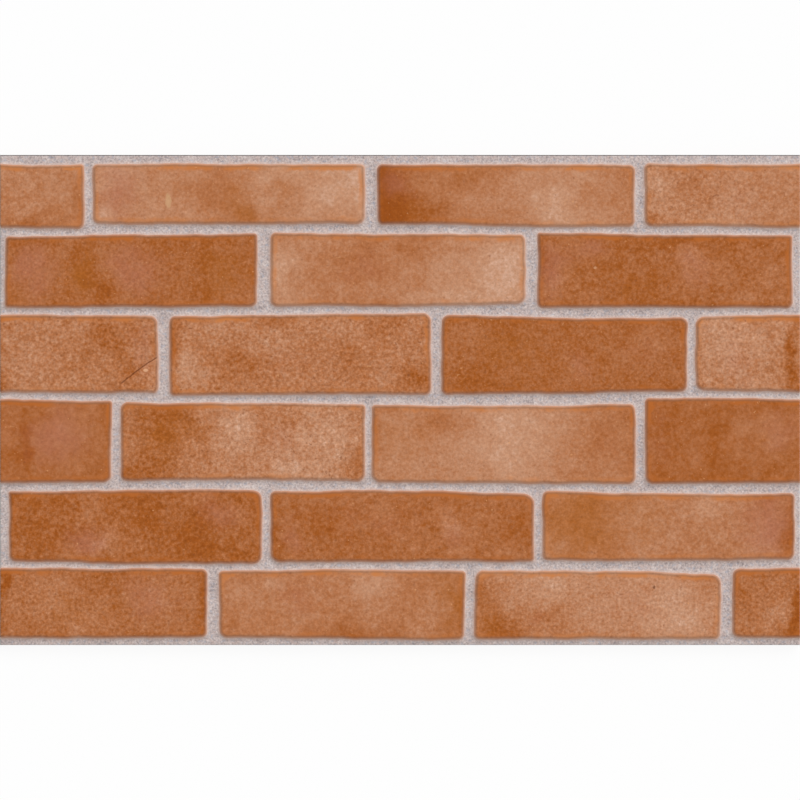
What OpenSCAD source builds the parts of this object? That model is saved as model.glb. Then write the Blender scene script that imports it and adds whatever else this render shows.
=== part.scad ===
// Glazed ceramic wall tile, pressed and fired in one piece. Its face stands up as courses of
// hand-made looking brick faces between recessed joints, and its back has shallow key grooves.
// It lies on its back: X runs along the courses, Y up the wall, and Z out of the glazed face.
// The origin is the middle of the back.

/* [Brick faces] */
// Length of an even brick face
brick_length = 159.5; // [120:0.5:240]
// Height of an even brick face
brick_height = 45.5; // [36:0.5:75]
// Width of the upright joints between the bricks of a course
head_joint = 7; // [5:0.5:14]
// Width of the level joints between the courses
bed_joint = 5.5; // [5:0.5:14]
// Bricks in the length of a course
bricks_in_course = 3; // [2:1:4]
// Courses in the width of the tile
course_count = 6; // [4:1:8]

/* [Relief] */
// Thickness from the back to the bottom of the joints
body_thickness = 8; // [6:0.5:12]
// Height of the brick faces above the joints
relief = 2; // [1:0.1:4]
// Rounding of the brick faces' corners, seen from the front
corner_radius = 3.5; // [2.5:0.5:8]
// Rounding of the arris around each brick face
arris_radius = 1.5; // [0.5:0.1:2]
// Lean of the brick faces' sides, between foot and arris
side_lean = 0.4; // [0:0.1:0.8]
// Chamfer along the tile's own front edges
edge_chamfer = 0.6; // [0.2:0.1:1.5]

/* [Back] */
// Width of each key groove
groove_width = 8; // [4:0.5:15]
// Depth of the key grooves
groove_depth = 0.8; // [0.3:0.1:2]
// Width of the land between two key grooves
land_width = 6; // [3:0.5:15]
// Width of the plain rim around the key grooves
rim_width = 12; // [6:0.5:30]

/* [Hidden] */

// How far each course's first upright joint is set along, as a share of a brick, bottom course first
bond = [0.76, 0, 0.41, 0.61, 0, 0.37];

// How far each brick face departs from the even bond, course by course from the bottom up:
// its left and right ends, its lower edge at the left and right, its upper edge at the left and right
departures = [
    [[7.5, 0.5, 2.5, 0.5, -2.5, -2], [0, -6.5, 1, 1, -1.5, -4], [-5.5, 6, 2, 2, -0.5, -0.5]],
    [[2.5, 0.5, -1, -3, -4, -2.5], [-1, 3.5, -2.5, -1.5, -3.5, -5.5], [2, 0, -1, -0.5, -3, -4.5]],
    [[4, -3.5, -3, -2.5, 1, 0], [-6, -1, -3, -4, -0.5, -0.5], [-1.5, 4.5, -4, -3, 4, 2]],
    [[1, 4.5, 0, 0.5, 4.5, 6.5], [4.5, -2, 0.5, 2.5, 5, 3.5], [-3.5, 0, 3, 1.5, 4, 4]],
    [[0, -2.5, 4, 4.5, 2.5, 4.5], [-1, -1.5, 5, 6, 5, 4], [-0.5, -1.5, 4, 3.5, 5, 3]],
    [[-7, 3, 5, 5.5, -3, -3.5], [4, 5, 5, 3, -3, -3.5], [4.5, -6, 4, 2.5, -2.5, -4]],
];

brick_pitch = brick_length + head_joint;
course_pitch = brick_height + bed_joint;
tile_length = bricks_in_course * brick_pitch;
tile_width = course_count * course_pitch;
tile_thickness = body_thickness + relief;
// Least straight side below the arris, and least rounding of a corner above it
least_side = 0.2;
least_corner = 0.3;
arris = min(arris_radius, relief - least_side, corner_radius - side_lean - least_corner);
corner_steps = 4;
arris_steps = 3;
clay = [0.74, 0.44, 0.26];

// Departures of brick b in course c; the lists start again where a tile has more bricks or courses
function departure(c, b) =
    let (course = departures[c % len(departures)]) course[b % len(course)];

// Corners of brick b in course c, counter-clockwise from the lower left, measured from the tile's middle
function brick_corners(c, b) =
    let (
        d = departure(c, b),
        left = (bond[c % len(bond)] + b) * brick_pitch - tile_length / 2 + head_joint / 2,
        low = c * course_pitch - tile_width / 2 + bed_joint / 2,
        right = left + brick_length,
        high = low + brick_height
    )
    [
        [left + d[0], low + d[2]],
        [right + d[1], low + d[3]],
        [right + d[1], high + d[5]],
        [left + d[0], high + d[4]],
    ];

// Outline with rounded corners, taken in from the brick's foot by an even inset
function brick_outline(corners, inset) =
    let (inward = [[1, 1], [-1, 1], [-1, -1], [1, -1]])
    [for (q = [0:3], s = [0:corner_steps])
        let (turn = 180 + 90 * (q + s / corner_steps))
        corners[q] + corner_radius * inward[q] + (corner_radius - inset) * [cos(turn), sin(turn)]];

// Section of a brick face's edge as [inset, height], from inside the body up to the flat face
edge_section = concat(
    [[0, body_thickness / 2], [0, body_thickness]],
    [for (s = [0:arris_steps])
        let (turn = 90 * s / arris_steps)
        [side_lean + arris * (1 - cos(turn)), tile_thickness - arris * (1 - sin(turn))]]
);

// One raised brick face: its outline carried up the edge section, closed at both ends
module brick_face(corners) {
    rings = [for (p = edge_section) [for (xy = brick_outline(corners, p[0])) [xy[0], xy[1], p[1]]]];
    n = len(rings[0]);
    last = (len(rings) - 1) * n;
    sides = [for (r = [0:len(rings) - 2], i = [0:n - 1])
        let (j = (i + 1) % n) [r * n + i, (r + 1) * n + i, (r + 1) * n + j, r * n + j]];
    foot = [for (i = [0:n - 1]) i];
    face = [for (i = [n - 1:-1:0]) last + i];
    polyhedron(points = [for (ring = rings, point = ring) point], faces = concat(sides, [foot, face]));
}

// The courses of brick faces; a brick that runs past one end of the tile comes in again at the other
module brick_courses() {
    for (c = [0:course_count - 1], b = [0:bricks_in_course - 1], lap = [-1:1]) {
        corners = [for (p = brick_corners(c, b)) p + [lap * tile_length, 0]];
        if (corners[1][0] > -tile_length / 2 && corners[0][0] < tile_length / 2)
            brick_face(corners);
    }
}

// Flat body up to the bottom of the joints, left oversize so that the tile's edges are cut in one go
module joint_bed() {
    translate([-tile_length, -tile_width, 0])
        cube([2 * tile_length, 2 * tile_width, body_thickness]);
}

// Outer form of the tile across one direction, with its front edges chamfered
module edge_profile(span) {
    polygon([
        [-span / 2, 0],
        [span / 2, 0],
        [span / 2, tile_thickness - edge_chamfer],
        [span / 2 - edge_chamfer, tile_thickness],
        [-span / 2 + edge_chamfer, tile_thickness],
        [-span / 2, tile_thickness - edge_chamfer],
    ]);
}

module outer_form() {
    intersection() {
        rotate([90, 0, 0])
            linear_extrude(height = tile_width, center = true)
                edge_profile(tile_length);
        rotate([90, 0, 90])
            linear_extrude(height = tile_length, center = true)
                edge_profile(tile_width);
    }
}

// Key grooves in the back, as many pairs as fit inside the rim, so that a land runs through the middle
module key_grooves() {
    groove_pitch = groove_width + land_width;
    groove_length = tile_length - 2 * rim_width;
    pairs = floor((tile_width - 2 * rim_width + land_width) / groove_pitch / 2);
    for (g = [0:pairs - 1], side = [-1, 1])
        translate([0, side * (g + 0.5) * groove_pitch, 0])
            cube([groove_length, groove_width, 2 * groove_depth], center = true);
}

module tile() {
    color(clay)
        difference() {
            intersection() {
                union() {
                    joint_bed();
                    brick_courses();
                }
                outer_form();
            }
            key_grooves();
        }
}

tile();
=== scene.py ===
import math
import random

import bmesh
import bpy
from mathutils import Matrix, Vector, noise
from mathutils.geometry import delaunay_2d_cdt
from mathutils.kdtree import KDTree


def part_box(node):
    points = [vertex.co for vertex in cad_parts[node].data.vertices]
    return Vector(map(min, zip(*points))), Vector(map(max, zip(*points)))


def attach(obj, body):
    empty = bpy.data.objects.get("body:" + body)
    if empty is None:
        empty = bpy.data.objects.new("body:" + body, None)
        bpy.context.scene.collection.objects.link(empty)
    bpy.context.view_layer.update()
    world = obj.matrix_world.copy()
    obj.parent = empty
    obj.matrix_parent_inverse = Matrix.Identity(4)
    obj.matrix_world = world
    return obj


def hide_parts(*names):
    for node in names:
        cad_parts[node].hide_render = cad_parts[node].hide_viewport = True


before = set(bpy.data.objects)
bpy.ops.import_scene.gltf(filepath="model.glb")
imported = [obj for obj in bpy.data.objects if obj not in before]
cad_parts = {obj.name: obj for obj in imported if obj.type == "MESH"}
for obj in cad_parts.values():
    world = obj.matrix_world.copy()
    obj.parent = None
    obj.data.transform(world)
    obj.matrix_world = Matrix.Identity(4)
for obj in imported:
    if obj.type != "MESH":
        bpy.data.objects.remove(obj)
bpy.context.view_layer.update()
lowCorner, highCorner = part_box("tile")
mm = 0.001
cubicCm = 0.01 ** 3
snap = 0.001 * mm  # points this close to a cut or a level lie on it

# tile body: overall sizes from the frame; bricks, joints, relief and chamfer as in the construction
tileForm = {
    "length": highCorner.x - lowCorner.x,
    "width": highCorner.y - lowCorner.y,
    "thickness": highCorner.z - lowCorner.z,
    "bricksInCourse": 3,
    "headJoint": 7 * mm,
    "bedJoint": 5.5 * mm,
    "relief": 2 * mm,
    "edgeChamfer": 0.6 * mm,
    "edgeSteps": [(0.7, 0.3), (0.3, 0.7)],  # out and down, as shares of the chamfer
    "sideRow": 0.6,  # a row of points up the sides, as a share of the joint bed's level
    "backRounding": 0.5 * mm,
    "backSteps": [(0.3, 0.3), (0.7, 0)],  # further in and up from the back, as shares of the rounding
    "sharpFrom": math.radians(50),  # steeper edges are shaded sharp
}

# brick faces, bottom course first; ends, low and high are mm off an even bond, bow is mm at mid-length
# of the lower and upper edge, corners are radii in mm from the lower left one round; depth is how deep
# the glaze's colour is, speckle how grainy it is at the left and right end; a tone makes the glaze
# deeper or paler, a tint makes it pinker or more ochre, and both are given as amount, place along and
# up the brick, and reach along and up in mm
courses = [
    {"setAlong": 0.76, "bricks": [
        {"ends": (7.5, 0.5), "low": (2.5, 0.5), "high": (-2.5, -2), "bow": (-0.5, 1),
         "corners": (4.5, 4, 2.2, 3), "depth": 0.52, "speckle": (0.45, 0.5),
         "tones": [(-0.08, 0.1, 0.65, 16, 14), (-0.25, 0.26, 0.72, 6, 6), (-0.32, 0.62, 0.78, 14, 11),
                   (0.22, 0.59, 0.18, 26, 7), (0.28, 0.95, 0.4, 8, 16), (0.14, 0.05, 0.3, 7, 9),
                   (0.08, 0.5, 0.07, 60, 5)],
         "tints": [(0.5, 0.37, 0.6, 14, 12), (-0.8, 0.93, 0.5, 14, 22)]},
        {"ends": (0, -6.5), "low": (1, 1), "high": (-1.5, -4), "bow": (0, 0.5),
         "corners": (4.5, 3.5, 5.5, 6), "depth": 0.38, "speckle": (0.75, 0.65),
         "tones": [(0.5, 0.1, 0.2, 16, 12), (0.32, 0.06, 0.64, 9, 14), (0.3, 0.33, 0.3, 13, 9),
                   (-0.22, 0.32, 0.82, 14, 9), (-0.18, 0.77, 0.4, 20, 14), (0.15, 0.93, 0.8, 12, 9),
                   (-0.16, 0.6, 0.88, 22, 7), (-0.4, 0.06, 0.88, 8, 8),
                   (0.06, 0.4, 0.07, 40, 5)],
         "tints": [(0.4, 0.26, 0.3, 8, 8), (0.3, 0.62, 0.5, 20, 14), (-0.4, 0.06, 0.3, 9, 18)]},
        {"ends": (-5.5, 6), "low": (2, 2), "high": (-0.5, -0.5), "bow": (-0.5, 0),
         "corners": (4, 3.5, 3.5, 5), "depth": 0.68, "speckle": (0.85, 0.7),
         "tones": [(0.42, 0.25, 0.5, 4, 32), (-0.24, 0.16, 0.35, 14, 12), (-0.15, 0.43, 0.55, 14, 13),
                   (-0.08, 0.8, 0.6, 14, 14), (0.15, 0.64, 0.8, 14, 10), (0.3, 0.99, 0.5, 5, 26),
                   (-0.18, 0.59, 0.2, 12, 8), (0.1, 0.65, 0.08, 50, 5)],
         "tints": [(0.6, 0.8, 0.55, 14, 16), (-0.4, 0.5, 0.5, 22, 18)]},
    ]},
    {"setAlong": 0, "bricks": [
        {"ends": (2.5, 0.5), "low": (-1, -3), "high": (-4, -2.5), "bow": (-0.5, 0.5),
         "corners": (4, 4.5, 6, 1.8), "depth": 0.78, "speckle": (0.75, 0.75),
         "tones": [(-0.12, 0.34, 0.74, 9, 8), (-0.28, 0.4, 0.27, 12, 8), (0.14, 0.74, 0.3, 18, 12),
                   (-0.14, 0.85, 0.62, 8, 8), (0.12, 0.53, 0.6, 10, 14), (0.1, 0.06, 0.75, 12, 9),
                   (-0.08, 0.16, 0.15, 7, 8), (0.12, 0.2, 0.68, 8, 8)],
         "tints": [(0.9, 0.34, 0.3, 15, 9), (0.7, 0.82, 0.64, 12, 11), (-0.3, 0.1, 0.7, 12, 8)]},
        {"ends": (-1, 3.5), "low": (-2.5, -1.5), "high": (-3.5, -5.5), "bow": (0.5, 1.5),
         "corners": (6, 2.5, 6, 3.5), "depth": 0.7, "speckle": (0.6, 0.6),
         "tones": [(-0.25, 0.71, 0.42, 9, 8), (-0.1, 0.4, 0.78, 14, 7), (0.1, 0.22, 0.5, 16, 14),
                   (0.15, 0.95, 0.4, 8, 16), (0.18, 0.02, 0.4, 5, 14), (-0.14, 0.14, 0.86, 9, 7),
                   (0.1, 0.76, 0.75, 12, 7)],
         "tints": [(0.6, 0.1, 0.3, 9, 9), (0.5, 0.72, 0.35, 9, 9), (0.3, 0.4, 0.5, 30, 14)]},
        {"ends": (2, 0), "low": (-1, -0.5), "high": (-3, -4.5), "bow": (0, -1),
         "corners": (3.5, 5, 3, 4), "depth": 0.51, "speckle": (0.55, 0.5),
         "tones": [(0.2, 0.2, 0.5, 15, 18), (-0.1, 0.07, 0.35, 9, 9), (-0.18, 0.68, 0.74, 14, 8),
                   (-0.12, 0.45, 0.4, 16, 16), (0.4, 0.98, 0.5, 7, 30), (0.18, 0.88, 0.88, 10, 7),
                   (0.1, 0.58, 0.07, 14, 5), (0.12, 0.04, 0.08, 7, 6), (0.14, 0.05, 0.8, 6, 8)],
         "tints": [(-1.2, 0.16, 0.5, 30, 30), (-0.6, 0.42, 0.6, 14, 20), (1, 0.88, 0.5, 18, 24)]},
    ]},
    {"setAlong": 0.41, "bricks": [
        {"ends": (4, -3.5), "low": (-3, -2.5), "high": (1, 0), "bow": (1.5, 0),
         "corners": (4, 5, 2.5, 5), "depth": 0.46, "speckle": (0.85, 0.9),
         "tones": [(0.42, 0.18, 0.66, 24, 20), (0.35, 0.1, 0.12, 16, 9), (-0.3, 0.47, 0.68, 14, 14),
                   (-0.28, 0.82, 0.55, 16, 16), (0.12, 0.64, 0.75, 14, 8), (0.25, 0.95, 0.2, 8, 10),
                   (-0.34, 0.69, 0.1, 16, 9), (-0.16, 0.11, 0.52, 7, 8), (0.12, 0.54, 0.5, 8, 12)],
         "tints": [(-0.5, 0.22, 0.6, 22, 18), (0.4, 0.65, 0.5, 16, 14)]},
        {"ends": (-6, -1), "low": (-3, -4), "high": (-0.5, -0.5), "bow": (0, -0.5),
         "corners": (5, 5, 4.5, 2), "depth": 0.41, "speckle": (0.42, 0.42),
         "tones": [(0.22, 0.23, 0.75, 10, 9), (0.2, 0, 0.6, 6, 24), (-0.3, 0.52, 0.55, 22, 28),
                   (0.25, 0.85, 0.42, 22, 22), (0.2, 0.93, 0.85, 9, 8), (0.2, 0.98, 0.3, 6, 16),
                   (0.2, 0.08, 0.95, 12, 6), (0.15, 0.8, 0.95, 16, 5)],
         "tints": [(-0.5, 0.1, 0.5, 18, 22), (0.3, 0.88, 0.4, 12, 14)]},
        {"ends": (-1.5, 4.5), "low": (-4, -3), "high": (4, 2), "bow": (0, 0.5),
         "corners": (5, 4.5, 2.2, 2.5), "depth": 0.75, "speckle": (0.4, 0.3),
         "tones": [(0.12, 0.27, 0.42, 8, 24), (-0.2, 0.46, 0.62, 16, 12), (0.26, 0.69, 0.5, 3, 22),
                   (-0.16, 0.83, 0.58, 20, 16), (0.14, 0.66, 0.3, 6, 8), (0.1, 0.1, 0.8, 12, 9),
                   (-0.1, 0.96, 0.85, 6, 7), (0.14, 0.45, 0.95, 12, 6)],
         "tints": [(0.9, 0.8, 0.55, 22, 18), (0.6, 0.5, 0.62, 14, 12), (0.3, 0.05, 0.5, 10, 20)]},
    ]},
    {"setAlong": 0.61, "bricks": [
        {"ends": (1, 4.5), "low": (0, 0.5), "high": (4.5, 6.5), "bow": (0.5, -0.5),
         "corners": (3, 4.5, 5, 4.5), "depth": 0.52, "speckle": (0.9, 0.9),
         "tones": [(0.35, 0.03, 0.65, 5, 24), (-0.3, 0.09, 0.4, 9, 14), (0.2, 0.29, 0.48, 14, 13),
                   (-0.12, 0.44, 0.65, 20, 10), (0.14, 0.7, 0.5, 14, 10), (0.35, 0.945, 0.22, 11, 10),
                   (-0.16, 0.69, 0.85, 10, 7), (-0.15, 0.23, 0.95, 8, 6), (0.16, 0.21, 0.3, 7, 8),
                   (0.18, 0.41, 0.98, 12, 5), (0.18, 0.83, 0.98, 9, 5)],
         "tints": [(-0.4, 0.12, 0.3, 12, 12), (0.2, 0.5, 0.5, 22, 16)]},
        {"ends": (4.5, -2), "low": (0.5, 2.5), "high": (5, 3.5), "bow": (0, -1),
         "corners": (4.5, 4.5, 5, 5), "depth": 0.75, "speckle": (0.6, 0.6),
         "tones": [(-0.18, 0.18, 0.84, 9, 9), (0.12, 0.31, 0.88, 9, 7), (0.1, 0.2, 0.28, 20, 10),
                   (-0.12, 0.54, 0.5, 10, 11), (-0.12, 0.84, 0.76, 10, 8)],
         "tints": [(-0.5, 0.3, 0.6, 24, 20), (0.5, 0.56, 0.5, 10, 12), (0.3, 0.8, 0.55, 14, 14)]},
        {"ends": (-3.5, 0.5), "low": (3, 1.5), "high": (4, 4), "bow": (0, 0.5),
         "corners": (5, 4, 5, 5.5), "depth": 0.5, "speckle": (0.85, 0.95),
         "tones": [(-0.22, 0.13, 0.6, 22, 22), (0.15, 0.09, 0.3, 8, 7), (0.42, 0.365, 0.5, 4, 26),
                   (-0.08, 0.52, 0.42, 14, 12), (0.3, 0.79, 0.73, 13, 10), (0.18, 0.86, 0.3, 10, 9),
                   (-0.16, 0.16, 0.14, 12, 7), (-0.18, 0.03, 0.92, 7, 6), (-0.12, 0.97, 0.22, 6, 7),
                   (0.14, 0.9, 0.54, 7, 8), (0.15, 0.79, 0.08, 12, 5)],
         "tints": [(0.5, 0.93, 0.6, 9, 18), (0.4, 0.15, 0.5, 12, 14)]},
    ]},
    {"setAlong": 0, "bricks": [
        {"ends": (0, -2.5), "low": (4, 4.5), "high": (2.5, 4.5), "bow": (0, 0),
         "corners": (2.5, 4.5, 2.5, 2.5), "depth": 0.74, "speckle": (0.55, 0.6),
         "tones": [(0.14, 0.27, 0.74, 6, 8), (0.26, 0.325, 0.5, 5, 9), (0.28, 0.38, 0.24, 5, 8),
                   (-0.12, 0.12, 0.5, 14, 14), (-0.14, 0.47, 0.6, 14, 14), (0.12, 0.78, 0.5, 8, 18),
                   (0.18, 0.11, 0.96, 10, 5), (0.16, 0.73, 0.97, 14, 5)],
         "tints": [(0.8, 0.13, 0.6, 13, 16), (0.8, 0.5, 0.62, 18, 13), (-0.6, 0.85, 0.5, 16, 20),
                   (-0.9, 0.31, 0.5, 9, 16)]},
        {"ends": (-1, -1.5), "low": (5, 6), "high": (5, 4), "bow": (-0.5, -0.5),
         "corners": (4.5, 6, 3.5, 4), "depth": 0.46, "speckle": (0.45, 0.4),
         "tones": [(-0.35, 0.06, 0.5, 11, 20), (0.2, 0.36, 0.6, 18, 12), (-0.38, 0.88, 0.5, 30, 28),
                   (-0.26, 0.69, 0.2, 20, 9), (0.2, 0.52, 0.92, 24, 6), (0.12, 0.25, 0.8, 12, 8),
                   (0.32, 0.42, 0.06, 18, 6), (0.12, 0.63, 0.78, 10, 7)],
         "tints": [(0.4, 0.34, 0.6, 14, 12), (-0.3, 0.7, 0.4, 22, 14)]},
        {"ends": (-0.5, -1.5), "low": (4, 3.5), "high": (5, 3), "bow": (0.5, 0),
         "corners": (4, 4, 2, 1.8), "depth": 0.75, "speckle": (0.6, 0.65),
         "tones": [(-0.2, 0.1, 0.45, 8, 12), (-0.15, 0.19, 0.82, 10, 8), (0.06, 0.38, 0.4, 15, 12),
                   (-0.2, 0.62, 0.6, 11, 11), (-0.15, 0.88, 0.45, 12, 12), (0.2, 0.02, 0.75, 6, 14),
                   (0.2, 0.52, 0.97, 22, 5), (-0.16, 0.76, 0.2, 9, 8)],
         "tints": [(0.8, 0.07, 0.6, 10, 14), (0.7, 0.2, 0.82, 11, 8), (0.6, 0.62, 0.58, 11, 11),
                   (-0.3, 0.35, 0.4, 16, 14)]},
    ]},
    {"setAlong": 0.37, "bricks": [
        {"ends": (-7, 3), "low": (5, 5.5), "high": (-3, -3.5), "bow": (-0.5, 0.5),
         "corners": (4, 5, 2.5, 3), "depth": 0.41, "speckle": (0.4, 0.35),
         "tones": [(0.28, 0.54, 0.33, 8, 7), (0.18, 0.43, 0.55, 16, 16), (-0.3, 0.92, 0.66, 18, 20),
                   (-0.25, 0.68, 0.78, 16, 7), (-0.3, 0.035, 0.18, 8, 7), (-0.2, 0.07, 0.78, 12, 8),
                   (-0.2, 0.96, 0.92, 7, 6), (-0.18, 0.86, 0.94, 14, 6), (-0.15, 0.97, 0.4, 5, 20)],
         "tints": [(0.8, 0.09, 0.5, 15, 22), (-0.8, 0.54, 0.36, 10, 8), (-0.4, 0.75, 0.5, 24, 20)]},
        {"ends": (4, 5), "low": (5, 3), "high": (-3, -3.5), "bow": (0, 0),
         "corners": (4, 4.5, 4, 4), "depth": 0.5, "speckle": (0.4, 0.4),
         "tones": [(0.8, 0.06, 0.5, 17, 30), (0.3, 0.22, 0.25, 14, 9), (0.18, 0.35, 0.7, 18, 12),
                   (-0.3, 0.71, 0.4, 13, 12), (-0.18, 0.64, 0.55, 22, 16), (-0.2, 0.82, 0.74, 10, 9),
                   (-0.24, 0.8, 0.14, 20, 8), (0.15, 0.6, 0.5, 7, 8), (0.15, 0.5, 0.92, 14, 5)],
         "tints": [(0.8, 0.12, 0.68, 10, 8), (-0.4, 0.4, 0.8, 18, 7), (-0.3, 0.8, 0.3, 16, 9)]},
        {"ends": (4.5, -6), "low": (4, 2.5), "high": (-2.5, -4), "bow": (0, 0),
         "corners": (4.5, 4, 2, 3.5), "depth": 0.46, "speckle": (0.9, 0.3),
         "tones": [(0.12, 0.25, 0.68, 12, 9), (-0.22, 0.08, 0.66, 7, 9), (0.36, 0.05, 0.2, 6, 6),
                   (-0.12, 0.36, 0.4, 12, 12), (0.25, 0.77, 0.19, 22, 5), (0.2, 0.93, 0.42, 5, 16),
                   (-0.18, 0.27, 0.17, 12, 7), (-0.18, 0.6, 0.86, 12, 7), (-0.22, 0.92, 0.86, 7, 6)],
         "tints": [(0.3, 0.4, 0.45, 12, 12), (-0.4, 0.05, 0.8, 9, 8), (-0.3, 0.9, 0.5, 9, 20)]},
    ]},
]

# brick edge: steps in and up in mm from the foot to the face, and the uneven outline
brickEdge = {
    "spread": 0.25 * mm,  # the glaze rounds the outline out by this much
    "cornerSteps": 5,
    "steps": [(0.2, 0.2), (0.25, 0.29), (0.3, 0.33), (0.4, 0.3), (0.5, 0.21), (0.6, 0.12), (0.65, 0.05)],
    "weldBelow": 1,  # a corner with less rounding left, in mm, becomes one point before it shrinks away
    "weldReach": 0.4,  # mm around such a corner
    "waves": [(32 * mm, 0.8 * mm), (9 * mm, 0.45 * mm), (4 * mm, 0.2 * mm)],  # wave length and size
    "layer": 7.3,  # step in the noise from brick to brick
}

# brick face: pitch of the modelled surface, the bands along its edges that the grid and the unevenness
# leave out, and its unevenness
brickFace = {
    "grid": 1.9 * mm,
    "plainBand": 7 * mm,
    "calmBand": 5 * mm,
    "set": 0.3 * mm,  # the face stays this far below the tile's full thickness, before its unevenness
    "waves": [(42 * mm, 0.2 * mm), (13 * mm, 0.1 * mm), (5 * mm, 0.04 * mm)],
    "layer": 5.1,
}

# brick tones: wandering of their borders as wave length and size in mm and step in the noise, and the
# seed for each brick's own place in the glaze's patterns
brickTones = {
    "drift": [(24, 9, 2.9), (9, 4, 4.3)],
    "seed": 100,
}

# joint bed: fineness of its mesh, the lip that it rises by at the bricks, and its sandy unevenness
jointBed = {
    "spacing": 1.25 * mm,
    "rowShare": 0.87,  # of the spacing, from row to row
    "clearShare": 0.5,  # of the spacing, kept free along the bricks
    "scatterShare": 0.4,  # of the spacing, by which the points are set off
    "scatterStep": 1.7,  # step in the noise from point to point
    "widest": 12 * mm,  # no points further than this from the bricks
    "weld": 1e-9,  # m, closer points become one
    "lip": 0.5 * mm,
    "lipReach": 2.3 * mm,
    "waves": [(9 * mm, 0.12 * mm), (1.9 * mm, 0.09 * mm)],
    "layer": 0.5,
    "paintedShadeSide": Vector((-0.3, -1)).normalized(),  # the joint glaze gets painted shade on this side of the bricks
}

# back: key grooves as in the construction, with sides that lean
backKeys = {
    "grooveWidth": 8 * mm,
    "landWidth": 6 * mm,
    "grooveDepth": 0.8 * mm,
    "rim": 12 * mm,
    "lean": 0.4 * mm,
}

jointPlace, clayPlace = 1, 2  # material places on the tile, after the brick glaze
waveLayer, crossLayer = 3.7, 41.3  # steps in the noise between a pattern's waves and its two directions
bedLevel = tileForm["thickness"] - tileForm["relief"]
footLevel = bedLevel + jointBed["lip"]
brickPitch = tileForm["length"] / tileForm["bricksInCourse"]
coursePitch = tileForm["width"] / len(courses)
frontX = tileForm["length"] / 2 - tileForm["edgeChamfer"]
frontY = tileForm["width"] / 2 - tileForm["edgeChamfer"]


def unevenness(waves, x, y, layer):
    total = 0
    for i, (wave, size) in enumerate(waves):
        total += size * noise.noise((x / wave, y / wave, layer + waveLayer * i))
    return total


def shake(x, y, layer):
    return Vector((noise.noise((x, y, layer)), noise.noise((x, y, layer + crossLayer))))


def smoothStep(start, end, value):
    share = min(max((value - start) / (end - start), 0), 1)
    return share * share * (3 - 2 * share)


def pick(geometry, kind):
    return [item for item in geometry if isinstance(item, kind)]


def cutAcross(bm, normal, reach, geometry=None, clear=False):
    whole = geometry or bm.verts[:] + bm.edges[:] + bm.faces[:]
    return bmesh.ops.bisect_plane(bm, geom=whole, dist=snap, plane_co=Vector(normal) * reach,
                                  plane_no=normal, clear_outer=clear)


def outlineLoops(bm):
    loops, seen = [], set()
    for first in bm.verts:
        loop, vert = [], first
        while vert and vert.is_boundary and vert not in seen:
            seen.add(vert)
            loop.append(vert)
            ahead = [edge.other_vert(vert) for edge in vert.link_edges if edge.is_boundary]
            vert = next((other for other in ahead if other not in seen), None)
        if loop:
            turn = sum(loop[i - 1].co.xy.cross(loop[i].co.xy) for i in range(len(loop)))
            loops.append(loop if turn > 0 else loop[::-1])
    return loops


def alongLoop(loop, parts=4):  # points along an outline, several to each edge
    points = []
    for i, vert in enumerate(loop):
        points += [loop[i - 1].co.lerp(vert.co, (part + 1) / parts) for part in range(parts)]
    return points


def searchTree(points):
    tree = KDTree(len(points))
    for i, point in enumerate(points):
        tree.insert((point.x, point.y, 0), i)
    tree.balance()
    return tree


def nearestTo(points):
    tree = searchTree(points)
    return lambda point: tree.find((point.x, point.y, 0))[2]


def brickPlaces():
    number = 0
    reach = (tileForm["length"] + brickPitch) / 2 - tileForm["headJoint"]
    for c, course in enumerate(courses):
        for b, brick in enumerate(course["bricks"]):
            number += 1
            left = (course["setAlong"] + b) * brickPitch - tileForm["length"] / 2
            low = c * coursePitch - tileForm["width"] / 2
            for lap in (-1, 0, 1):  # a brick cut off at one end of the tile comes in again at the other
                start = left + lap * tileForm["length"]
                if abs(start + brickPitch / 2) < reach:
                    yield brick, start, low, number


def layOutline(bm, brick, left, low):
    headGap = tileForm["headJoint"] / 2 - brickEdge["spread"]
    bedGap = tileForm["bedJoint"] / 2 - brickEdge["spread"]
    ends = [left + headGap, left + brickPitch - headGap]
    beds = [low + bedGap, low + coursePitch - bedGap]
    verts = []
    for i, j, edge in ((0, 0, "low"), (1, 0, "low"), (1, 1, "high"), (0, 1, "high")):
        x, y = ends[i] + brick["ends"][i] * mm, beds[j] + brick[edge][i] * mm
        verts.append(bm.verts.new((x, y, footLevel)))
    bm.faces.new(verts)
    return verts


def cutGrid(bm, corners):
    xs = [corners[0].co.x, corners[1].co.x]
    ys = [max(corners[0].co.y, corners[1].co.y), min(corners[2].co.y, corners[3].co.y)]
    for normal, (start, end) in (((1, 0, 0), xs), ((0, 1, 0), ys)):
        start, end = start + brickFace["plainBand"], end - brickFace["plainBand"]
        count = round((end - start) / brickFace["grid"])
        for i in range(count + 1):
            cutAcross(bm, normal, start + (end - start) * i / count)


def roundCorners(bm, corners, radii):
    for vert, radius in zip(corners, radii):
        bmesh.ops.bevel(bm, geom=[vert], offset=radius * mm, offset_type="OFFSET", affect="VERTICES",
                        segments=brickEdge["cornerSteps"], profile=0.5, material=-1)


def topFaces(bm):
    top = max(vert.co.z for vert in bm.verts) - snap
    return [face for face in bm.faces if min(vert.co.z for vert in face.verts) > top]


def weldCorner(bm, corner, inward, inset, arc):
    middle = corner + inward * inset * mm
    ring = dict.fromkeys(vert for face in topFaces(bm) for vert in face.verts)
    near = [vert for vert in ring if (vert.co.xy - middle).length < (arc + brickEdge["weldReach"]) * mm]
    if len(near) > 1:
        centre = sum((vert.co for vert in near), Vector()) / len(near)
        bmesh.ops.pointmerge(bm, verts=near, merge_co=centre)


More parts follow.
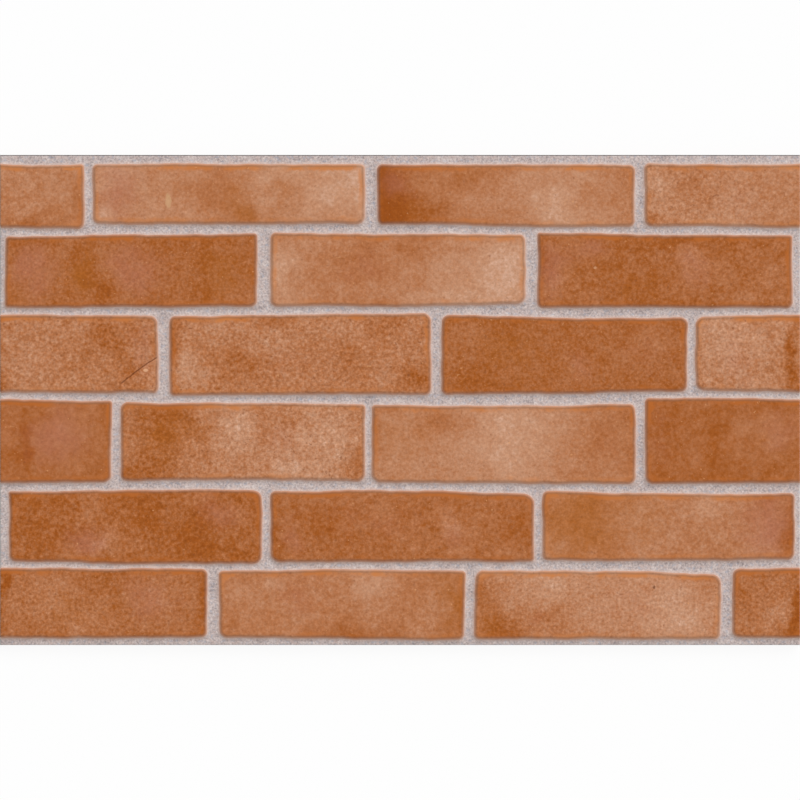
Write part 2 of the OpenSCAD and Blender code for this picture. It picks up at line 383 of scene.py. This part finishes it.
def raiseFace(bm, corners, radii):
    inset = 0
    inwards = [Vector(way) for way in ((1, 1), (-1, 1), (-1, -1), (1, -1))]
    for thickness, depth in brickEdge["steps"]:
        bmesh.ops.inset_region(bm, faces=topFaces(bm), thickness=thickness * mm, depth=depth * mm,
                               use_even_offset=True, use_boundary=True)
        inset += thickness
        for corner, inward, radius in zip(corners, inwards, radii):
            if radius - inset < brickEdge["weldBelow"]:
                weldCorner(bm, corner, inward, inset, max(radius - inset, 0))


def bendBrick(bm, brick, left, low, number):
    for vert in bm.verts:  # bow of the long edges, then the uneven hand-made line
        x, y = vert.co.x - left, vert.co.y - low
        along = 2 * x / brickPitch - 1
        up = min(max(y / coursePitch, 0), 1)
        bow = (brick["bow"][0] * (1 - up) + brick["bow"][1] * up) * mm * max(1 - along * along, 0)
        vert.co.y += bow
        for wave, size in brickEdge["waves"]:
            vert.co += shake(x / wave, y / wave, number * brickEdge["layer"]).to_3d() * size


def patchSum(patches, x, y, number):
    drift = Vector((0, 0))
    for wave, size, layer in brickTones["drift"]:
        drift += shake(x / (wave * mm), y / (wave * mm), number * layer) * size * mm
    total = 0
    for amount, along, up, reachX, reachY in patches:
        farX = (x + drift.x - along * brickPitch) / reachX
        farY = (y + drift.y - up * coursePitch) / reachY
        total += amount * math.exp(-(Vector((farX, farY)) / mm).length_squared)
    return total


def paintBrick(bm, brick, left, low, number, outline):
    names = ("depth", "tint", "speckle", "rim", "up")
    depth, tint, speckle, rim, up = [bm.verts.layers.float.new(name) for name in names]
    shift = bm.verts.layers.float_vector.new("shift")
    chance = random.Random(brickTones["seed"] + number)
    offset = Vector([chance.uniform(-1, 1) for i in range(3)])
    gap = nearestTo(outline)
    for vert in bm.verts:
        x, y = vert.co.x - left, vert.co.y - low
        vert[depth] = brick["depth"] + patchSum(brick["tones"], x, y, number)
        vert[tint] = patchSum(brick["tints"], x, y, number)
        vert[speckle] = brick["speckle"][0] * (1 - x / brickPitch) + brick["speckle"][1] * x / brickPitch
        vert[rim] = gap(vert.co) / mm
        vert[up] = y / coursePitch
        vert[shift] = offset


def weatherBrick(bm, left, low, number):
    rim = bm.verts.layers.float["rim"]
    edgeWidth = sum(inset for inset, rise in brickEdge["steps"])
    for vert in bm.verts:
        share = smoothStep(0, brickFace["calmBand"] / mm, vert[rim])
        rough = unevenness(brickFace["waves"], vert.co.x - left, vert.co.y - low, number * brickFace["layer"])
        vert.co.z += share * rough - brickFace["set"] * smoothStep(0, edgeWidth, vert[rim])
        vert.co.z = min(vert.co.z, tileForm["thickness"])


def brickShell(brick, left, low, number):
    bm = bmesh.new()
    corners = layOutline(bm, brick, left, low)
    places = [vert.co.xy.copy() for vert in corners]
    cutGrid(bm, corners)
    roundCorners(bm, corners, brick["corners"])
    raiseFace(bm, places, brick["corners"])
    bendBrick(bm, brick, left, low, number)
    paintBrick(bm, brick, left, low, number, alongLoop(outlineLoops(bm)[0]))
    weatherBrick(bm, left, low, number)
    mesh = bpy.data.meshes.new("brickShell")
    bm.to_mesh(mesh)
    bm.free()
    return mesh


def layBricks(bm):
    for place in brickPlaces():
        shell = brickShell(*place)
        bm.from_mesh(shell)
        bpy.data.meshes.remove(shell)
    print("brick faces:", len(bm.faces))


def trimFront(bm):
    for x, y, reach in ((1, 0, frontX), (-1, 0, frontX), (0, 1, frontY), (0, -1, frontY)):
        cutAcross(bm, (x, y, 0), reach, clear=True)


def onFrontEdge(point, near=0.01 * mm):
    return abs(point.x) > frontX - near or abs(point.y) > frontY - near


def toFrontEdge(value, reach, near=0.002 * mm):  # a point that was cut at the edge lies on it exactly
    return math.copysign(reach, value) if abs(value) > reach - near else value


def bedPoints(gap):  # rows of points between the bricks, every second row set half a step along
    step, noiseStep = jointBed["spacing"], jointBed["scatterStep"]
    columns, rows = round(2 * frontX / step), round(2 * frontY / (jointBed["rowShare"] * step))
    points = [Vector((x, y)) for x in (-frontX, frontX) for y in (-frontY, frontY)]
    for j in range(rows + 1):
        y = frontY * (2 * j / rows - 1)
        line = [Vector((frontX * (2 * (i + 0.5 * (j % 2)) / columns - 1), y)) for i in range(columns)]
        for i, point in enumerate(line + [Vector((-frontX, y)), Vector((frontX, y))]):
            if jointBed["clearShare"] * step < gap(point) < jointBed["widest"]:
                if not onFrontEdge(point):
                    scatter = shake(noiseStep * i, noiseStep * j, jointBed["layer"])
                    point += scatter * jointBed["scatterShare"] * step
                points.append(point)
    return points


def bedHeight(point, gap):
    lift = jointBed["lip"] * max(1 - gap(point) / jointBed["lipReach"], 0) ** 2
    return bedLevel + lift + unevenness(jointBed["waves"], point.x, point.y, jointBed["layer"])


# painted shade: each point takes how far its nearest brick outline faces the side that gets painted shade
def paintShadeOnBed(bm, loops, reach=2):  # reach is the points on each side that give an outline's run
    shade = bm.verts.layers.float["shade"]
    outline = []
    for loop in loops:
        for i, vert in enumerate(loop):
            run = (loop[(i + reach) % len(loop)].co - loop[i - reach].co).xy.normalized()
            vert[shade] = Vector((run.y, -run.x)).dot(jointBed["paintedShadeSide"])
            outline.append(vert)
    tree = searchTree([vert.co for vert in outline])
    for vert in bm.verts:
        vert[shade] = outline[tree.find((vert.co.x, vert.co.y, 0))[1]][shade]


def layBed(bm):
    bm.verts.layers.float.new("shade")  # first, because a new layer drops the vertices that are held
    rim = bm.verts.layers.float["rim"]
    loops = outlineLoops(bm)
    outline = [vert for loop in loops for vert in loop]
    gap = nearestTo([point for loop in loops for point in alongLoop(loop)])
    places = [Vector((toFrontEdge(vert.co.x, frontX), toFrontEdge(vert.co.y, frontY))) for vert in outline]
    rings = []
    for loop in loops:
        first = sum(len(ring) for ring in rings)
        rings.append(list(range(first, first + len(loop))))
    net = delaunay_2d_cdt(places + bedPoints(gap), [], rings, 0, jointBed["weld"])
    points, faces, sources, owners = net[0], net[2], net[3], net[5]
    between = [face for face, owner in zip(faces, owners) if not owner]  # between the bricks
    verts = {}
    for face in between:
        for i in face:
            source = min(sources[i])
            if i not in verts and source < len(outline):
                verts[i] = outline[source]
            elif i not in verts:
                verts[i] = bm.verts.new((points[i].x, points[i].y, bedHeight(points[i], gap)))
                verts[i][rim] = gap(points[i]) / mm
        bm.faces.new([verts[i] for i in face]).material_index = jointPlace
    paintShadeOnBed(bm, loops)
    print("joint bed faces:", len(between))


def growRing(bm, edges, out, down=0, level=None):
    made = bmesh.ops.extrude_edge_only(bm, edges=edges)["geom"]
    verts = pick(made, bmesh.types.BMVert)
    reachX = max(vert.co.x for vert in verts)
    reachY = max(vert.co.y for vert in verts)
    bmesh.ops.scale(bm, verts=verts, vec=(1 + out / reachX, 1 + out / reachY, 1))
    for vert in verts:
        vert.co.z = vert.co.z - down if level is None else level
    edges = [edge for edge in pick(made, bmesh.types.BMEdge) if edge.is_boundary]
    return edges, pick(made, bmesh.types.BMFace)


def closeBack(bm):
    chamfer, rounding = tileForm["edgeChamfer"], tileForm["backRounding"]
    edges = [edge for edge in bm.edges if edge.is_boundary]
    for out, down in tileForm["edgeSteps"]:  # the glaze runs over the front edges
        edges = growRing(bm, edges, chamfer * out, down=chamfer * down)[0]
    rings = [(0, bedLevel * tileForm["sideRow"]), (0, rounding)]
    rings += [(-inward * rounding, up * rounding) for inward, up in tileForm["backSteps"]]
    clay = []
    for out, level in rings:
        edges, faces = growRing(bm, edges, out, level=level)
        clay += faces
    back = bmesh.ops.contextual_create(bm, geom=edges)["faces"]
    for face in clay + back:
        face.material_index = clayPlace
    bmesh.ops.recalc_face_normals(bm, faces=bm.faces[:])
    return back


def cutKeys(bm, back):
    halfWidth = backKeys["grooveWidth"] / 2
    pitch = backKeys["grooveWidth"] + backKeys["landWidth"]
    spanX = tileForm["length"] / 2 - backKeys["rim"]
    pairs = int((tileForm["width"] - 2 * backKeys["rim"] + backKeys["landWidth"]) / pitch / 2)
    middles = [(i + 0.5) * pitch for i in range(-pairs, pairs)]
    lines = [((1, 0, 0), side * spanX) for side in (-1, 1)]
    for middle in middles:
        lines += [((0, 1, 0), middle + side * halfWidth) for side in (-1, 1)]
    faces = back
    for normal, reach in lines:
        edges = dict.fromkeys(edge for face in faces for edge in face.edges)
        verts = dict.fromkeys(vert for face in faces for vert in face.verts)
        cut = cutAcross(bm, normal, reach, faces + list(edges) + list(verts))
        faces = pick(cut["geom"], bmesh.types.BMFace)
    grooves = []
    for face in faces:
        centre = face.calc_center_bounds()
        if abs(centre.x) < spanX and any(abs(centre.y - middle) < halfWidth for middle in middles):
            grooves.append(face)
    bmesh.ops.inset_region(bm, faces=grooves, thickness=backKeys["lean"], depth=-backKeys["grooveDepth"],
                           use_even_offset=True, use_boundary=True)
    print("back:", len(grooves), "key grooves")


def orderFaces(bm):  # the same order each run
    bm.verts.index_update()
    count = len(bm.verts)

    def rank(face):
        first, second, third = sorted(vert.index for vert in face.verts)[:3]
        return (first * count + second) * count + third

    bm.faces.sort(key=rank)


def buildTile():
    bm = bmesh.new()
    layBricks(bm)
    trimFront(bm)
    layBed(bm)
    cutKeys(bm, closeBack(bm))
    bmesh.ops.triangulate(bm, faces=[face for face in bm.faces if len(face.verts) > 4])
    for face in bm.faces:
        face.smooth = True
    orderFaces(bm)
    openEdges = [edge for edge in bm.edges if not edge.is_manifold]
    triangles = sum(len(face.verts) - 2 for face in bm.faces)
    volume = round(bm.calc_volume() / cubicCm, 2)
    print("tile:", triangles, "triangles,", len(openEdges), "open edges,", volume, "cm3")
    mesh = bpy.data.meshes.new("brick_tile")
    bm.to_mesh(mesh)
    bm.free()
    mesh.set_sharp_from_angle(angle=tileForm["sharpFrom"])
    piece = bpy.data.objects.new("brick_tile", mesh)
    bpy.context.collection.objects.link(piece)
    return piece


class Socket:
    def __init__(self, tree, link=None):
        self.tree = tree
        self.link = link

    # any node: its type, its settings, and the values or links of its sockets
    def add(self, kind, settings=None, inputs=None, out=0):
        node = self.tree.nodes.new(kind)
        for name, value in (settings or {}).items():
            if name == "stops":
                while len(node.color_ramp.elements) < len(value):
                    node.color_ramp.elements.new(1)
                for element, (at, colour) in zip(node.color_ramp.elements, value):
                    element.position = at
                    element.color = colour
            else:
                setattr(node, name, value)
        for name, value in (inputs or {}).items():
            if isinstance(value, Socket):
                self.tree.links.new(value.link, node.inputs[name])
            else:
                node.inputs[name].default_value = value
        return Socket(self.tree, node.outputs[out] if node.outputs else None)

    def maths(self, operation, a, b):
        return self.add("ShaderNodeMath", {"operation": operation}, {0: a, 1: b})

    def __add__(self, other):
        return self.maths("ADD", self, other)

    def __radd__(self, other):
        return self.maths("ADD", other, self)

    def __sub__(self, other):
        return self.maths("SUBTRACT", self, other)

    def __rsub__(self, other):
        return self.maths("SUBTRACT", other, self)

    def __mul__(self, other):
        return self.maths("MULTIPLY", self, other)

    def __rmul__(self, other):
        return self.maths("MULTIPLY", other, self)

    def fade(self, start, end):  # 0 at start, 1 at end, smooth between
        return self.add("ShaderNodeMapRange", {"interpolation_type": "SMOOTHSTEP"},
                        {"Value": self, "From Min": start, "From Max": end})

    def between(self, low, high):  # low where this is 0, high where it is 1
        return self * (high - low) + low

    def axis(self, name):
        return self.add("ShaderNodeSeparateXYZ", None, {0: self}, name)

    def noise(self, wave, detail, roughness):  # cloudy pattern on this place, wave in mm
        return self.add("ShaderNodeTexNoise", None, {"Vector": self, "Scale": 1 / (wave * mm),
                                                     "Detail": detail, "Roughness": roughness}, "Fac")

    def moved(self, other):  # this place set off by another vector
        return self.add("ShaderNodeVectorMath", {"operation": "ADD"}, {0: self, 1: other})

    def mix(self, first, second):  # first colour where this is 0, second where it is 1
        return self.add("ShaderNodeMix", {"data_type": "RGBA"}, {0: self, 6: first, 7: second}, 2)

    def dim(self, colour):  # colour times this value
        return self.add("ShaderNodeVectorMath", {"operation": "SCALE"}, {0: colour, 3: self})

    # a layer's paint over a colour where this is 1, by its share, or by its two shares across a value
    def cover(self, colour, layer, across=None):
        share = across.between(*layer["share"]) if across else layer["share"]
        return (self * share).mix(colour, layer["paint"])


def paint(red, green, blue):  # colour as a screen shows it
    shares = [channel / 255 for channel in (red, green, blue)]
    return [s / 12.92 if s <= 0.04045 else ((s + 0.055) / 1.055) ** 2.4 for s in shares] + [1]


def newMaterial(name):
    material = bpy.data.materials.new(name)
    material.use_nodes = True
    material.node_tree.nodes.clear()
    return material, Socket(material.node_tree)


def objectPlace(start):
    return start.add("ShaderNodeTexCoord", None, None, "Object")


def meshValue(start, name, out="Fac"):
    return start.add("ShaderNodeAttribute", {"attribute_name": name}, None, out)


def patternValues(place, look):  # cloudy patterns, each around zero
    return {name: place.moved(off).noise(*form) - 0.5 for name, (off, *form) in look["patterns"].items()}


def blend(value, weights):
    total = 0
    for name, weight in weights.items():
        total = value[name] * weight + total
    return total


def layerMask(value, layer):  # where a layer lies
    return blend(value, layer["weights"]).fade(*layer["fade"])


def finishMaterial(start, look, colour, grain, height):
    bump = start.add("ShaderNodeBump", None, {"Height": height, "Distance": mm, "Strength": 1}, "Normal")
    roughness = grain * look["roughnessGrain"] + look["roughness"]
    shader = start.add("ShaderNodeBsdfPrincipled", None, {
        "Base Color": colour, "Roughness": roughness, "Normal": bump, "Specular IOR Level": look["specular"]})
    start.add("ShaderNodeOutputMaterial", None, {"Surface": shader})


# thin darker line along the tile's upper and left front edges
frontLine = {"fade": 0.1 * mm, "upper": 0.75, "left": 0.5}


def frontShade(place):
    upper = place.axis("Y").fade(frontY, frontY + frontLine["fade"])
    left = (place.axis("X") * -1).fade(frontX, frontX + frontLine["fade"])
    return 1 - upper * frontLine["upper"] - left * frontLine["left"]


# brick glaze: matt terracotta, hazy and mottled. A pattern is its place in the noise, its wave in mm, detail
# and roughness. Weights add up patterns and mesh values, and a layer of paint lies where the sum passes its
# fade. The ochre's share runs from a pale brick to a deep one
brickGlaze = {
    "patterns": {
        "wide": ((0, 0, 0), 24, 3, 0.6),
        "clouds": ((0, 0, 0), 8, 4, 0.65),
        "mottle": ((4, 6, 1), 4.5, 2, 0.6),
        "grain": ((2, 3, 5), 2.1, 2, 0.6),
        "dust": ((8, 1, 4), 1.4, 1, 0.5),
        "patches": ((7, 2, 3), 20, 2, 0.5),
        "light": ((1, 4, 2), 1.9, 1, 0.5),
        "dark": ((5, 2, 7), 2.2, 1, 0.5),
    },
    "stops": [(0, paint(216, 172, 146)), (0.2, paint(202, 149, 116)), (0.55, paint(184, 118, 76)),
              (0.85, paint(164, 88, 28)), (1, paint(154, 77, 12))],
    "stopsSpan": (0.05, 0.95),
    "haze": {"depth": 1, "wide": 0.35, "clouds": 0.45},
    "mottling": {"mottle": 0.35, "grain": 0.8},
    "dusting": {"grain": 0.37, "dust": 0.5},
    "leastGrain": 0.25,
    "blush": {"paint": paint(178, 109, 83), "share": 0.65, "fade": (0, 1),
              "weights": {"tint": 0.8, "clouds": 0.5, "mottle": 0.4}},
    "ochre": {"paint": paint(174, 101, 36), "share": (0.2, 0.7), "fade": (0.05, 0.9),
              "weights": {"tint": -0.8, "clouds": 0.6, "wide": 0.6}},
    "lightSpeck": {"paint": paint(222, 160, 110), "share": 0.6, "fade": (0.22, 0.34),
                   "weights": {"light": 1, "clouds": 0.3}},
    "darkSpeck": {"paint": paint(138, 78, 40), "share": 0.55, "fade": (0.16, 0.3),
                  "weights": {"dark": 1, "mottle": 0.3}},
    "relief": {"clouds": 0.14, "mottle": 0.08, "grain": 0.09},
    "roughness": 0.62,
    "roughnessGrain": 0.3,
    "specular": 0.15,
}

# glaze along the bricks' edges: an orange band in patches, a burnt line just inside with painted grey shade
# over it, strongest on a brick's lower part, and thin glaze at the foot. The rim is in mm from the foot. The
# deep paint's share follows the brick's depth, the band's own share and those of the burnt line, the painted
# shade and thin glaze run from a brick's lower part to its upper part
glazeEdge = {
    "upper": (0.3, 1),
    "pale": paint(208, 131, 74),
    "deep": paint(178, 93, 24),
    "deepFade": (0.3, 0.8),
    "deepShare": (0.1, 0.8),
    "band": {"weights": {"rim": 1, "clouds": 4, "mottle": 3}, "fade": (2.8, 5)},
    "patches": {"weights": {"patches": 1, "grain": 0.3}, "fade": (-0.08, 0.12)},
    "patchShare": (0.08, 0.73),
    "bandShare": (0.65, 1.35),
    "lineStart": (0.4, 1.1),
    "lineEnd": (1.3, 2.7),
    "burnt": {"paint": paint(116, 88, 66), "share": (0.14, 0.4)},
    # painted shade: a grey line over the burnt line, strongest on a brick's lower part
    "paintedShadeLine": {"paint": paint(108, 100, 92), "share": (0.19, 0.06)},
    "thinFade": (0, 1.5),
    "thin": {"paint": paint(208, 174, 158), "share": (0.7, 0.52)},
}

# single marks on the glaze: colour, place on the tile, reach in mm and share of cover
glazeMarks = [
    {"paint": paint(214, 174, 130), "place": (-144.5, 124.5), "reach": (1.9, 5), "share": 0.5},
    {"paint": paint(232, 178, 138), "place": (-158.6, 18.6), "reach": (1.5, 1.1), "share": 0.8},
    {"paint": paint(216, 160, 118), "place": (122, 82.5), "reach": (1.1, 0.8), "share": 0.7},
    {"paint": paint(120, 72, 44), "place": (158.6, -116.8), "reach": (1.1, 1), "share": 0.8},
]
markEdge = {"fade": (0.5, 1.3), "uneven": 3}

# hair crack from the right end of a brick down to its lower edge, sizes in mm
glazeCrack = {
    "start": (-152, 26.2),
    "end": (-176, 8.2),
    "width": (0.1, 0.55),  # of its dark middle, and to its faded sides
    "bend": 0.12,
    "uneven": 1.2,
    "startFade": (-2, 1),
    "endFade": 0.85,  # share of its length
    "depth": 0.3,
    "paint": paint(120, 60, 26),
    "share": 0.75,
}


def markMask(place, mark, grain):
    across = [(place.axis(name) - at * mm) * (1 / (reach * mm))
              for name, at, reach in zip("XY", mark["place"], mark["reach"])]
    far = across[0] * across[0] + across[1] * across[1] + grain * markEdge["uneven"]
    return 1 - far.fade(*markEdge["fade"])


def crackMask(place, mottle):
    look = glazeCrack
    start, end = Vector(look["start"]) * mm, Vector(look["end"]) * mm
    length, run = (end - start).length, (end - start).normalized()
    x, y = place.axis("X") - start.x, place.axis("Y") - start.y
    along = x * run.x + y * run.y
    bend = along * (1 - along * (1 / length)) * look["bend"] + mottle * (look["uneven"] * mm)
    off = x * -run.y + y * run.x + bend
    middle, side = look["width"]
    line = 1 - off.maths("ABSOLUTE", off, 0).fade(middle * mm, side * mm)
    begin = along.fade(look["startFade"][0] * mm, look["startFade"][1] * mm)
    return line * begin * (1 - along.fade(length * look["endFade"], length))


def groundColour(start, value, rough):
    look = brickGlaze
    depth = blend(value, look["haze"]) - blend(value, look["mottling"]) * rough
    stop = depth.between(*look["stopsSpan"])
    colour = start.add("ShaderNodeValToRGB", {"stops": look["stops"]}, {"Fac": stop})
    colour = layerMask(value, look["blush"]).cover(colour, look["blush"])
    colour = layerMask(value, look["ochre"]).cover(colour, look["ochre"], value["depth"])
    return (blend(value, look["dusting"]) * rough + 1).dim(colour)


def bandColour(colour, value, upper):  # orange along the edges
    look = glazeEdge
    deep = value["depth"].fade(*look["deepFade"]).between(*look["deepShare"])
    band = 1 - layerMask(value, look["band"])
    patches = layerMask(value, look["patches"]).between(*look["patchShare"])
    share = band * patches * upper.between(*look["bandShare"])
    return share.mix(colour, deep.mix(look["pale"], look["deep"]))


def speckColour(colour, value, rough):
    light, dark = brickGlaze["lightSpeck"], brickGlaze["darkSpeck"]
    colour = layerMask(value, light).cover(colour, light)
    return (layerMask(value, dark) * rough).cover(colour, dark)


def edgeColour(colour, value, upper, place):  # burnt line with painted grey shade over it, the darker front edges, then the thin foot
    look = glazeEdge
    line = value["rim"].fade(*look["lineStart"]) * (1 - value["rim"].fade(*look["lineEnd"]))
    colour = line.cover(colour, look["burnt"], upper)
    # painted grey shade over the burnt line
    colour = line.cover(colour, look["paintedShadeLine"], upper)
    colour = frontShade(place).dim(colour)
    thin = 1 - value["rim"].fade(*look["thinFade"])
    return thin.cover(colour, look["thin"], upper)


def glazeMaterial():
    look = brickGlaze
    material, start = newMaterial("brickGlaze")
    place = objectPlace(start)
    value = patternValues(place.moved(meshValue(start, "shift", "Vector")), look)
    for name in ("depth", "tint", "speckle", "rim", "up"):
        value[name] = meshValue(start, name)
    rough = value["speckle"] + look["leastGrain"]
    upper = value["up"].fade(*glazeEdge["upper"])
    colour = groundColour(start, value, rough)
    colour = bandColour(colour, value, upper)
    colour = speckColour(colour, value, rough)
    for mark in glazeMarks:
        colour = markMask(place, mark, value["grain"]).cover(colour, mark)
    crack = crackMask(place, value["mottle"])
    colour = crack.cover(colour, glazeCrack)
    colour = edgeColour(colour, value, upper, place)
    height = blend(value, look["relief"]) - crack * glazeCrack["depth"]
    finishMaterial(start, look, colour, value["grain"], height)
    return material


# joint glaze: pale grey and sandy, palest where it rises to the bricks, with painted shade on one side of
# them
jointGlaze = {
    "patterns": {
        "sand": ((0, 0, 0), 1.3, 3, 0.7),
        "clouds": ((3, 2, 8), 6, 3, 0.5),
        "coolSpots": ((2, 5, 1), 2.4, 2, 0.5),
        "warmSpots": ((6, 3, 4), 3, 2, 0.5),
    },
    "stops": [(0.25, paint(150, 138, 138)), (0.5, paint(198, 182, 178)), (0.75, paint(226, 213, 208))],
    "sanding": {"sand": 1.2, "clouds": 0.4},
    "cool": {"paint": paint(168, 174, 188), "share": 0.5, "fade": (0.02, 0.2),
             "weights": {"coolSpots": 1}},
    "warm": {"paint": paint(212, 185, 175), "share": 0.45, "fade": (0.02, 0.2),
             "weights": {"warmSpots": 1}},
    "lip": {"paint": paint(220, 185, 167), "share": 0.55, "fade": (0, 1.9),
            "weights": {"rim": 1, "sand": 0.8}},
    # painted shade in the joint beside the bricks' lower left sides: how much it darkens, and where it fades
    # out
    "paintedShading": 0.15,
    "paintedShadingFade": (0.4, 3.8),  # mm from the bricks
    "relief": {"sand": 0.35},
    "roughness": 0.8,
    "roughnessGrain": 0.2,
    "specular": 0.2,
}


def jointMaterial():
    look = jointGlaze
    material, start = newMaterial("jointGlaze")
    place = objectPlace(start)
    value = patternValues(place, look)
    value["rim"] = meshValue(start, "rim")
    stop = blend(value, look["sanding"]) + 0.5
    colour = start.add("ShaderNodeValToRGB", {"stops": look["stops"]}, {"Fac": stop})
    for name in ("cool", "warm"):
        colour = layerMask(value, look[name]).cover(colour, look[name])
    colour = (1 - layerMask(value, look["lip"])).cover(colour, look["lip"])
    # painted shade: darker next to the bricks on their lower left side, fading out away from them
    shade = meshValue(start, "shade").fade(0, 1) * (1 - value["rim"].fade(*look["paintedShadingFade"]))
    colour = (1 - shade * look["paintedShading"]).dim(colour)
    colour = frontShade(place).dim(colour)
    finishMaterial(start, look, colour, value["sand"], blend(value, look["relief"]))
    return material


# fired clay: the bare edges and back, with pale kiln dust on the lands of the back
firedClay = {
    "patterns": {
        "clouds": ((0, 0, 0), 14, 4, 0.6),
        "grog": ((0, 0, 0), 1.6, 2, 0.6),
        "dusty": ((0, 0, 0), 7, 4, 0.65),
    },
    "dark": paint(150, 92, 64),
    "plain": {"paint": paint(184, 122, 90), "fade": (-0.15, 0.2), "weights": {"clouds": 0.6, "grog": 0.5}},
    "dust": {"paint": paint(206, 184, 164), "share": 0.6, "fade": (-0.1, 0.12), "weights": {"dusty": 1}},
    "dustLevel": (0.1 * mm, 0.4 * mm),
    "relief": {"grog": 0.2, "clouds": 0.1},
    "roughness": 0.85,
    "roughnessGrain": 0.2,
    "specular": 0.2,
}


def clayMaterial():
    look = firedClay
    material, start = newMaterial("firedClay")
    place = objectPlace(start)
    value = patternValues(place, look)
    colour = layerMask(value, look["plain"]).mix(look["dark"], look["plain"]["paint"])
    lands = 1 - place.axis("Z").fade(*look["dustLevel"])
    colour = (lands * layerMask(value, look["dust"])).cover(colour, look["dust"])
    finishMaterial(start, look, colour, value["grog"], blend(value, look["relief"]))
    return material


brickTile = buildTile()
for material in (glazeMaterial(), jointMaterial(), clayMaterial()):
    brickTile.data.materials.append(material)
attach(brickTile, "root")
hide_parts("tile")
print("materials:", [material.name for material in brickTile.data.materials])

# studio: pale floor under the tile, even light with a soft lamp from the upper right, camera looking down
studio = {
    "floorSize": 6,
    "floorGap": 0.1 * mm,
    "floor": (0.95, 0.95, 0.95, 1),
    "white": 0.92,  # share of plain white that the camera sees on the floor
    "ambient": 0.525,
    "lamp": 1.82,
    "lampFrom": (0.65, 1, 1.15),
    "lampSoftness": math.radians(40),
    "lens": 200,
    "sensor": 36,
    "pictureWidth": 0.99925,  # share of the tile's length
}


def cameraRay(start):
    outputs = start.add("ShaderNodeLightPath").link.node.outputs
    names = ("Is Camera Ray", "Is Glossy Ray", "Is Transmission Ray")
    seen, glossy, through = [Socket(start.tree, outputs[name]) for name in names]
    return seen.maths("MAXIMUM", seen, glossy.maths("MAXIMUM", glossy, through))


def layFloor():
    bm = bmesh.new()
    bmesh.ops.create_grid(bm, x_segments=1, y_segments=1, size=studio["floorSize"] / 2)
    mesh = bpy.data.meshes.new("floor")
    bm.to_mesh(mesh)
    bm.free()
    floor = bpy.data.objects.new("floor", mesh)
    bpy.context.collection.objects.link(floor)
    floor.location.z = lowCorner.z - studio["floorGap"]
    material, start = newMaterial("floorPaint")
    matt = start.add("ShaderNodeBsdfDiffuse", None, {"Color": studio["floor"]})
    glow = start.add("ShaderNodeEmission", None, {"Color": (1, 1, 1, 1), "Strength": 1})
    shader = start.add("ShaderNodeMixShader", None, {0: cameraRay(start) * studio["white"], 1: matt, 2: glow})
    start.add("ShaderNodeOutputMaterial", None, {"Surface": shader})
    mesh.materials.append(material)


def setLight():
    world = bpy.data.worlds.new("studio")
    world.use_nodes = True
    world.node_tree.nodes.clear()
    start = Socket(world.node_tree)
    strength = cameraRay(start).between(studio["ambient"], 1)
    air = start.add("ShaderNodeBackground", None, {"Color": (1, 1, 1, 1), "Strength": strength})
    start.add("ShaderNodeOutputWorld", None, {"Surface": air})
    bpy.context.scene.world = world
    lamp = bpy.data.lights.new("lamp", "SUN")
    lamp.energy = studio["lamp"]
    lamp.angle = studio["lampSoftness"]
    holder = bpy.data.objects.new("lamp", lamp)
    holder.rotation_euler = Vector(studio["lampFrom"]).to_track_quat("Z", "Y").to_euler()
    bpy.context.collection.objects.link(holder)


def setCamera():
    camera = bpy.data.cameras.new("camera")
    camera.lens = studio["lens"]
    camera.sensor_width = studio["sensor"]
    holder = bpy.data.objects.new("camera", camera)
    height = tileForm["length"] * studio["pictureWidth"] * studio["lens"] / studio["sensor"]
    holder.location = (0, 0, highCorner.z + height)
    bpy.context.collection.objects.link(holder)
    bpy.context.scene.camera = holder


layFloor()
setLight()
setCamera()
bpy.context.scene.view_settings.view_transform = "Standard"
print("studio: floor, lamp and camera set")
